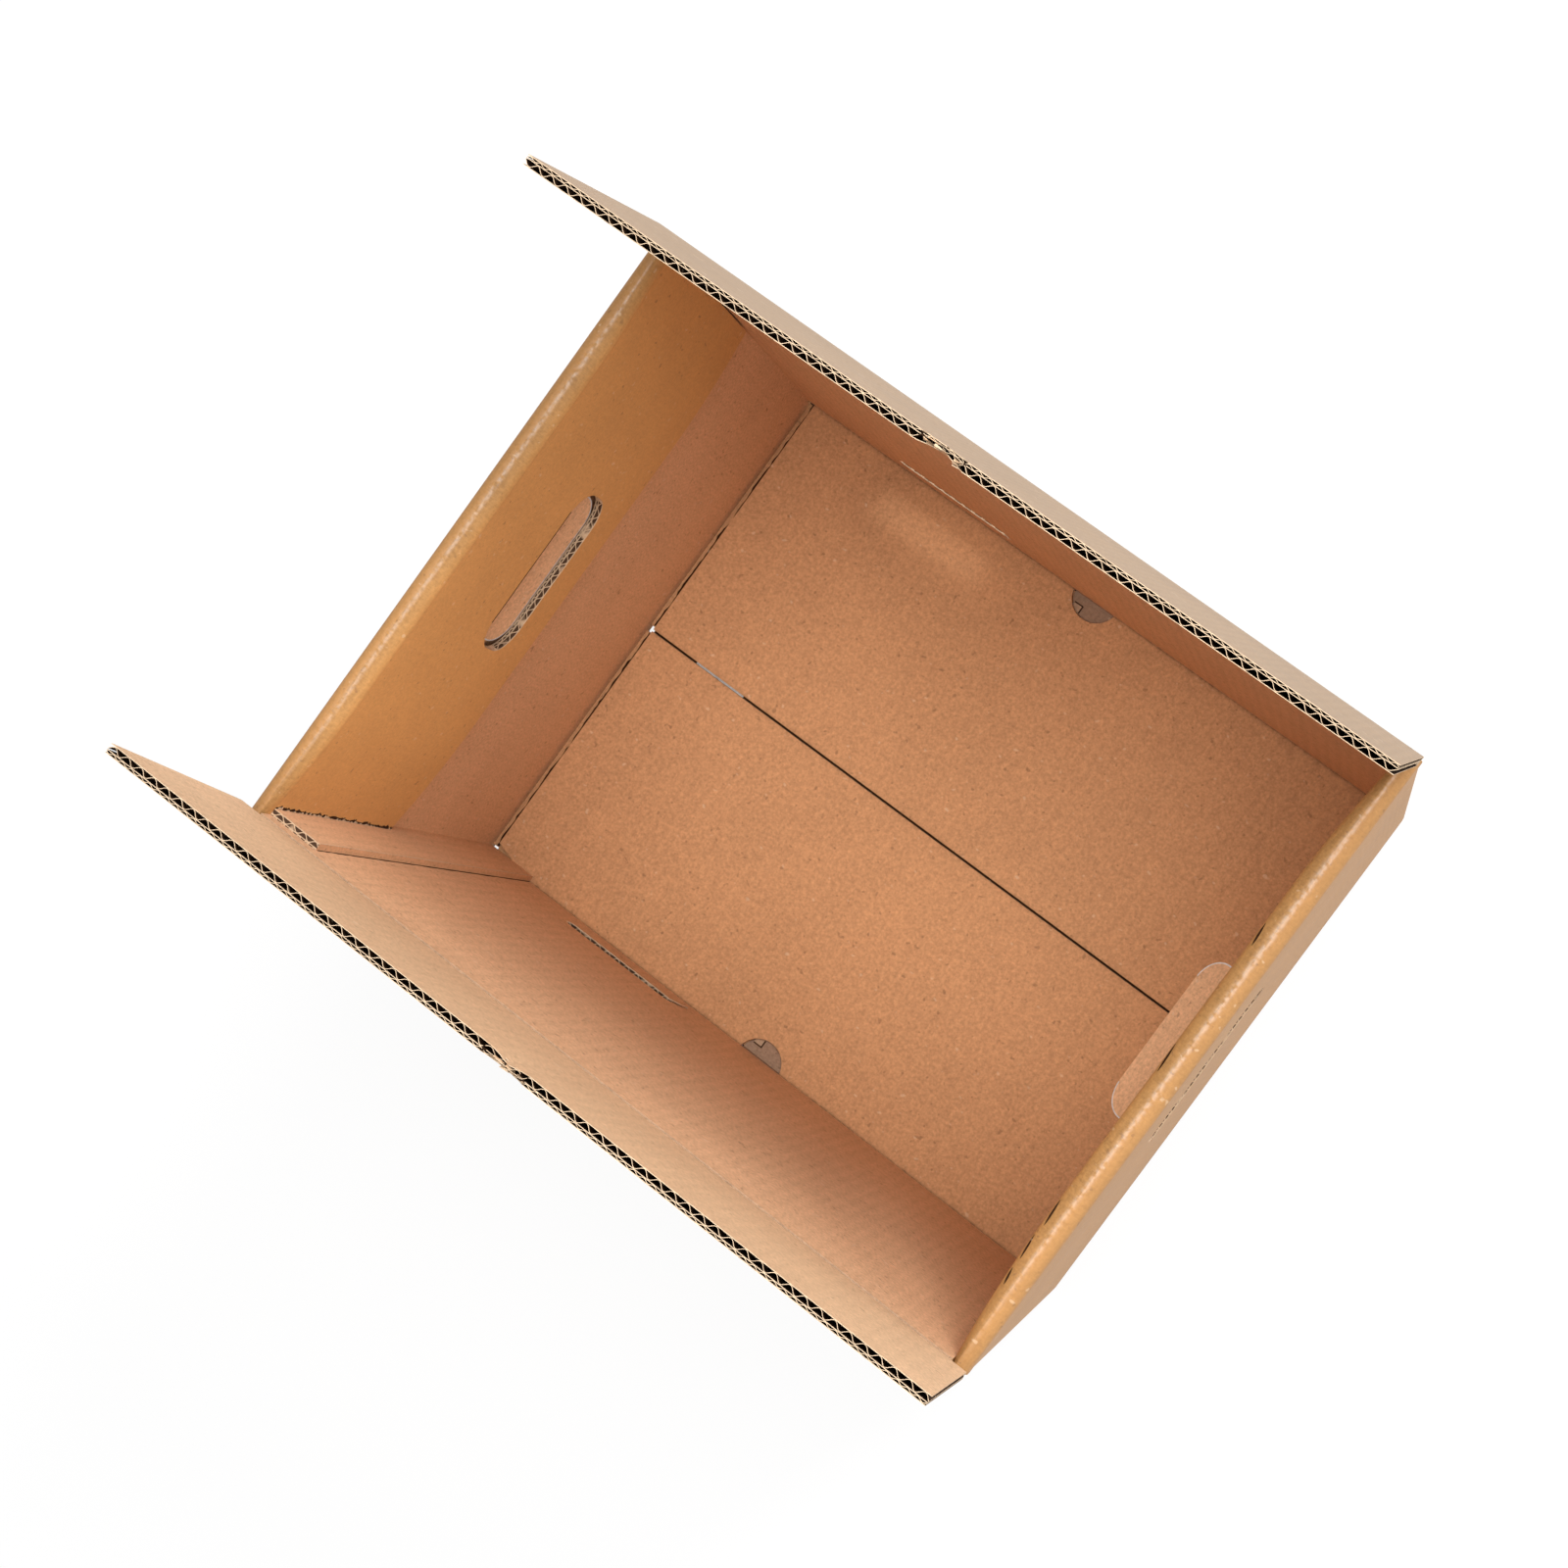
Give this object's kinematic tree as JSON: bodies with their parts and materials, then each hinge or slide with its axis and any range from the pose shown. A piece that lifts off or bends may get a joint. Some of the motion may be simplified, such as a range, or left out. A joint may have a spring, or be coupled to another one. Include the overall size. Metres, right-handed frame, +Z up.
{
  "type": "open cardboard box",
  "caption": "Open double-wall corrugated moving box with standing top flaps, rolled-over end walls, push-in hand flaps, grip slots and a closed folded bottom.",
  "frame": {"origin": "middle of the underside of the closed bottom", "axes": "+Z up out of the open top, +X along the length towards the right end wall, +Y towards the back flap's wall"},
  "size_m": [0.412, 0.3262, 0.5102],
  "materials": {
    "kraft_board": "uncoated brown kraft paper on double-wall corrugated board",
    "flap_board": "uncoated brown kraft paper, open flutes along the cut edge"
  },
  "bodies": {
    "carton": {"carton_body": "kraft_board"},
    "back_flap": {"back_flap": "flap_board"},
    "front_flap": {"front_flap": "flap_board"},
    "left_hand_flap": {"left_hand_flap": "kraft_board"},
    "right_hand_flap": {"right_hand_flap": "kraft_board"}
  },
  "joints": [
    {"name": "back_flap_crease", "type": "hinge", "parent": "carton", "child": "back_flap", "pos_m": [0, 0.16315, 0.35], "axis": [1, 0, 0], "range_deg": [-182, 82]},
    {"name": "front_flap_crease", "type": "hinge", "parent": "carton", "child": "front_flap", "pos_m": [0, -0.16315, 0.35], "axis": [-1, 0, 0], "range_deg": [-180, 84]},
    {"name": "left_hand_crease", "type": "hinge", "parent": "carton", "child": "left_hand_flap", "pos_m": [-0.2015, 0, 0.25], "axis": [0, -1, 0], "range_deg": [-8, 80]},
    {"name": "right_hand_crease", "type": "hinge", "parent": "carton", "child": "right_hand_flap", "pos_m": [0.2015, 0, 0.25], "axis": [0, 1, 0], "range_deg": [-46, 42]}
  ]
}
